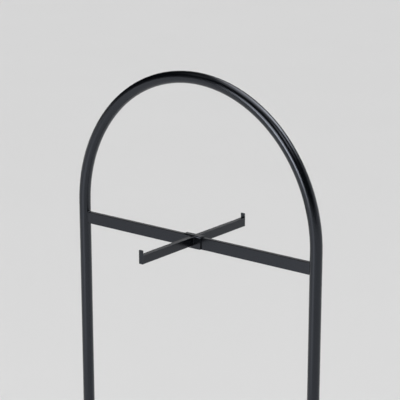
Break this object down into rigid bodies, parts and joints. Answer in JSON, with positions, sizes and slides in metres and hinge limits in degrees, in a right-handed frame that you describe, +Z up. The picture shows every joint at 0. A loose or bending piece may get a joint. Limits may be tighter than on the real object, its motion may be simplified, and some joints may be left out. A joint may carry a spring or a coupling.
{
  "type": "four way clothing rack",
  "caption": "Free-standing clothing rack: an arched tube with a flat crossbar, a cross arm unit with end stops that sits over its middle, and low feet on levelling glides.",
  "frame": {"origin": "on the floor, under the middle of the rack", "axes": "+X along the crossbar to the right leg, -Y towards the front, +Z up"},
  "size_m": [0.6406, 0.45, 1.5999],
  "materials": {
    "powder_coat": "satin black powder coat",
    "black_screws": "black oxide",
    "zinc_steel": "bright zinc plate",
    "black_plastic": "fine moulded grain",
    "nylon": "smooth nylon"
  },
  "bodies": {
    "frame": {"arch_tube": "powder_coat", "crossbar": "powder_coat", "left_leg_tube": "powder_coat", "right_leg_tube": "powder_coat", "left_leg_spigot": "zinc_steel", "right_leg_spigot": "zinc_steel", "leg_joint_screws": "black_screws", "lower_crossbar": "powder_coat", "lower_crossbar_plugs": "zinc_steel", "lower_crossbar_bolts": "black_screws", "lower_crossbar_washers": "black_screws", "left_leg_plug": "zinc_steel", "right_leg_plug": "zinc_steel", "leg_bolts": "zinc_steel", "leg_bolt_washers": "zinc_steel", "leg_bolt_sleeves": "zinc_steel", "left_foot_tube": "powder_coat", "right_foot_tube": "powder_coat", "foot_weld_nuts": "zinc_steel", "left_front_end_cap": "black_plastic", "left_rear_end_cap": "black_plastic", "right_front_end_cap": "black_plastic", "right_rear_end_cap": "black_plastic"},
    "carriage": {"saddle_liner": "nylon"},
    "cross_arm": {"saddle": "powder_coat", "front_arm": "powder_coat", "rear_arm": "powder_coat", "front_end_stop": "powder_coat", "rear_end_stop": "powder_coat"},
    "left_front_glide_foot": {"left_front_glide_pad": "black_plastic"},
    "left_front_glide_screw": {"left_front_glide_stud": "zinc_steel"},
    "left_rear_glide_foot": {"left_rear_glide_pad": "black_plastic"},
    "left_rear_glide_screw": {"left_rear_glide_stud": "zinc_steel"},
    "right_front_glide_foot": {"right_front_glide_pad": "black_plastic"},
    "right_front_glide_screw": {"right_front_glide_stud": "zinc_steel"},
    "right_rear_glide_foot": {"right_rear_glide_pad": "black_plastic"},
    "right_rear_glide_screw": {"right_rear_glide_stud": "zinc_steel"}
  },
  "joints": [
    {"name": "cross_arm_slide", "type": "slide", "parent": "frame", "child": "carriage", "axis": [1, 0, 0], "range_m": [-0.266, 0.266]},
    {"name": "cross_arm_lift", "type": "slide", "parent": "carriage", "child": "cross_arm", "axis": [0, 0, 1], "range_m": [0, 0.035]},
    {"name": "left_front_glide_travel", "type": "slide", "parent": "frame", "child": "left_front_glide_foot", "axis": [0, 0, -1], "range_m": [0, 0.008]},
    {"name": "left_front_glide_turn", "type": "hinge", "parent": "left_front_glide_foot", "child": "left_front_glide_screw", "pos_m": [-0.303, -0.195, 0.01], "axis": [0, 0, -1], "range_deg": [0, 2310]},
    {"name": "left_rear_glide_travel", "type": "slide", "parent": "frame", "child": "left_rear_glide_foot", "axis": [0, 0, -1], "range_m": [0, 0.008]},
    {"name": "left_rear_glide_turn", "type": "hinge", "parent": "left_rear_glide_foot", "child": "left_rear_glide_screw", "pos_m": [-0.303, 0.195, 0.01], "axis": [0, 0, -1], "range_deg": [0, 2310]},
    {"name": "right_front_glide_travel", "type": "slide", "parent": "frame", "child": "right_front_glide_foot", "axis": [0, 0, -1], "range_m": [0, 0.008]},
    {"name": "right_front_glide_turn", "type": "hinge", "parent": "right_front_glide_foot", "child": "right_front_glide_screw", "pos_m": [0.303, -0.195, 0.01], "axis": [0, 0, -1], "range_deg": [0, 2310]},
    {"name": "right_rear_glide_travel", "type": "slide", "parent": "frame", "child": "right_rear_glide_foot", "axis": [0, 0, -1], "range_m": [0, 0.008]},
    {"name": "right_rear_glide_turn", "type": "hinge", "parent": "right_rear_glide_foot", "child": "right_rear_glide_screw", "pos_m": [0.303, 0.195, 0.01], "axis": [0, 0, -1], "range_deg": [0, 2310]}
  ],
  "couplings": [
    {"joint": "left_front_glide_turn", "follows": "left_front_glide_travel", "rad_per_m": 5026.5},
    {"joint": "left_rear_glide_turn", "follows": "left_rear_glide_travel", "rad_per_m": 5026.5},
    {"joint": "right_front_glide_turn", "follows": "right_front_glide_travel", "rad_per_m": 5026.5},
    {"joint": "right_rear_glide_turn", "follows": "right_rear_glide_travel", "rad_per_m": 5026.5}
  ]
}
